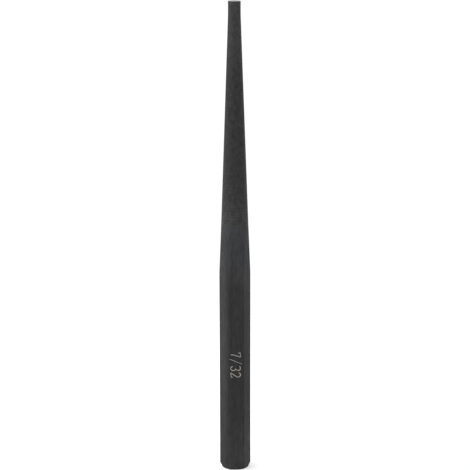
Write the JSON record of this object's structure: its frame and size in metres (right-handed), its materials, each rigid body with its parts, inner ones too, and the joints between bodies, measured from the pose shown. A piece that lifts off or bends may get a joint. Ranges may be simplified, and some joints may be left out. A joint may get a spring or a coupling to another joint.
{
  "type": "line-up punch",
  "caption": "Line-up punch: a hexagonal steel bar with a long round taper to a short parallel tip, chamfered struck end, black oxide finish; draws bolt holes into line.",
  "frame": {"origin": "middle of the flat struck face, with the punch standing on that face", "axes": "+Z along the bar from the struck face to the tip; -Y square to one of the six flats, the one that carries the size mark; +X towards a corner of the hexagon"},
  "size_m": [0.014, 0.0122, 0.2127],
  "materials": {
    "black_oxide_steel": "satin black oxide over ground and drawn tool steel"
  },
  "bodies": {
    "root": {"punch_body": "black_oxide_steel"}
  },
  "joints": []
}
